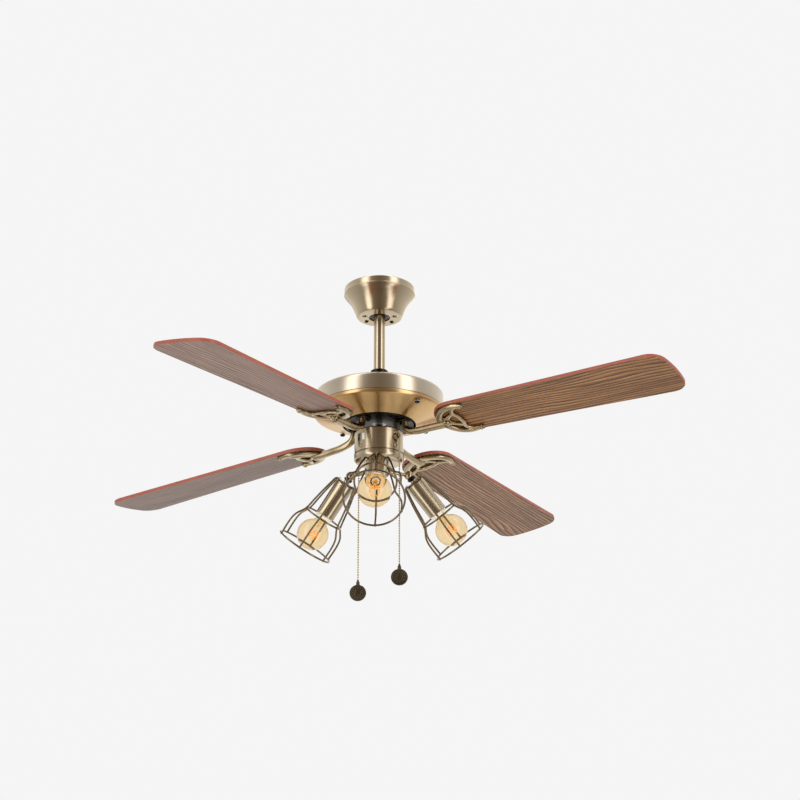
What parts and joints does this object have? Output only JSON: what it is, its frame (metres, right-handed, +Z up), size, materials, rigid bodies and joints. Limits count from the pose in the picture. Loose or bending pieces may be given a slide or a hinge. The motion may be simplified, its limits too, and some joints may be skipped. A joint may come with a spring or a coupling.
{
  "type": "ceiling fan with light",
  "caption": "Ceiling fan with downrod, paddle blades on cast irons, switch housing with pull chains, and adjustable caged spot lamps.",
  "frame": {"origin": "centre of the hanger bracket's top face, where it meets the ceiling", "axes": "+Z up into the ceiling along the downrod, -Y towards the front lamp"},
  "size_m": [0.9326, 0.9325, 0.5365],
  "materials": {
    "brushed_brass": "brushed",
    "cast_brass": "satin",
    "black_metal": "satin",
    "steel": "satin",
    "walnut_wood": "satin",
    "amber_glass": "gloss",
    "chain_brass": "polished",
    "dark_bronze": "satin",
    "cage_wire": "satin",
    "cream_plastic": "matt",
    "copper": "satin",
    "black_plastic": "matt",
    "nylon": "matt"
  },
  "bodies": {
    "ceiling_set": {"hanger_bracket": "steel", "canopy": "brushed_brass", "canopy_screw_1": "black_metal", "canopy_screw_2": "black_metal"},
    "liner": {"ball_liner": "nylon"},
    "fan_body": {"hanger_ball": "black_metal", "hanger_pin": "steel", "downrod": "brushed_brass", "yoke_collar": "brushed_brass", "clevis_pin": "steel", "upper_housing": "brushed_brass", "lower_housing": "brushed_brass", "housing_screw_1": "black_metal", "housing_screw_2": "black_metal", "housing_screw_3": "black_metal", "housing_screw_4": "black_metal", "stator_core": "steel", "stator_windings": "copper", "motor_shaft": "steel", "upper_bearing": "steel", "lower_bearing": "steel", "switch_housing": "brushed_brass", "capacitor": "black_plastic", "fan_pull_switch": "black_plastic", "fan_chain_ferrule": "chain_brass", "light_pull_switch": "black_plastic", "light_chain_ferrule": "chain_brass", "light_fitter": "brushed_brass", "lamp_hub": "cast_brass", "finial": "cast_brass"},
    "rotor": {"rotor_upper": "black_metal", "rotor_lower": "black_metal", "blade_iron_1": "cast_brass", "blade_iron_2": "cast_brass", "blade_iron_3": "cast_brass", "blade_iron_4": "cast_brass", "blade_1": "walnut_wood", "blade_2": "walnut_wood", "blade_3": "walnut_wood", "blade_4": "walnut_wood"},
    "fan_pull": {"fan_chain": "chain_brass", "fan_fob": "dark_bronze"},
    "light_pull": {"light_chain": "chain_brass", "light_fob": "dark_bronze"},
    "reverse_slider": {"reverse_switch": "black_plastic"},
    "front_swivel": {"knuckle_1": "cast_brass"},
    "front_lamp": {"lamp_cup_1": "brushed_brass", "lampholder_1": "cream_plastic", "bulb_1": "amber_glass", "cage_1": "cage_wire"},
    "right_swivel": {"knuckle_2": "cast_brass"},
    "right_lamp": {"lamp_cup_2": "brushed_brass", "lampholder_2": "cream_plastic", "bulb_2": "amber_glass", "cage_2": "cage_wire"},
    "left_swivel": {"knuckle_3": "cast_brass"},
    "left_lamp": {"lamp_cup_3": "brushed_brass", "lampholder_3": "cream_plastic", "bulb_3": "amber_glass", "cage_3": "cage_wire"}
  },
  "joints": [
    {"name": "ball_sway_y", "type": "hinge", "parent": "ceiling_set", "child": "liner", "pos_m": [0, 0, -0.036], "axis": [1, 0, 0], "range_deg": [-10, 10]},
    {"name": "ball_sway_x", "type": "hinge", "parent": "liner", "child": "fan_body", "pos_m": [0, 0, -0.036], "axis": [0, 1, 0], "range_deg": [-10, 10]},
    {"name": "rotor_spin", "type": "hinge", "parent": "fan_body", "child": "rotor", "pos_m": [0, 0, -0.222], "axis": [0, 0, 1], "continuous": true},
    {"name": "fan_pull_slide", "type": "slide", "parent": "fan_body", "child": "fan_pull", "axis": [0, 0, -1], "range_m": [0, 0.008], "stiffness_N_per_m": 300},
    {"name": "light_pull_slide", "type": "slide", "parent": "fan_body", "child": "light_pull", "axis": [0, 0, -1], "range_m": [0, 0.008], "stiffness_N_per_m": 300},
    {"name": "reverse_slide", "type": "slide", "parent": "fan_body", "child": "reverse_slider", "axis": [0, 0, -1], "range_m": [0, 0.006]},
    {"name": "front_swivel_turn", "type": "hinge", "parent": "fan_body", "child": "front_swivel", "pos_m": [-0.0026, -0.05534, -0.3257], "axis": [-0.0471, -0.9989, 0], "range_deg": [-25, 25]},
    {"name": "front_lamp_tilt", "type": "hinge", "parent": "front_swivel", "child": "front_lamp", "pos_m": [-0.0026, -0.05534, -0.3257], "axis": [0.9989, -0.0471, 0], "range_deg": [-25, 17]},
    {"name": "right_swivel_turn", "type": "hinge", "parent": "fan_body", "child": "right_swivel", "pos_m": [0.04923, 0.02541, -0.3257], "axis": [0.8886, 0.4586, 0], "range_deg": [-25, 25]},
    {"name": "right_lamp_tilt", "type": "hinge", "parent": "right_swivel", "child": "right_lamp", "pos_m": [0.04923, 0.02541, -0.3257], "axis": [-0.4586, 0.8886, 0], "range_deg": [-26, 16]},
    {"name": "left_swivel_turn", "type": "hinge", "parent": "fan_body", "child": "left_swivel", "pos_m": [-0.04662, 0.02993, -0.3257], "axis": [-0.8415, 0.5402, 0], "range_deg": [-15, 25]},
    {"name": "left_lamp_tilt", "type": "hinge", "parent": "left_swivel", "child": "left_lamp", "pos_m": [-0.04662, 0.02993, -0.3257], "axis": [-0.5402, -0.8415, 0], "range_deg": [-30, 8]}
  ]
}
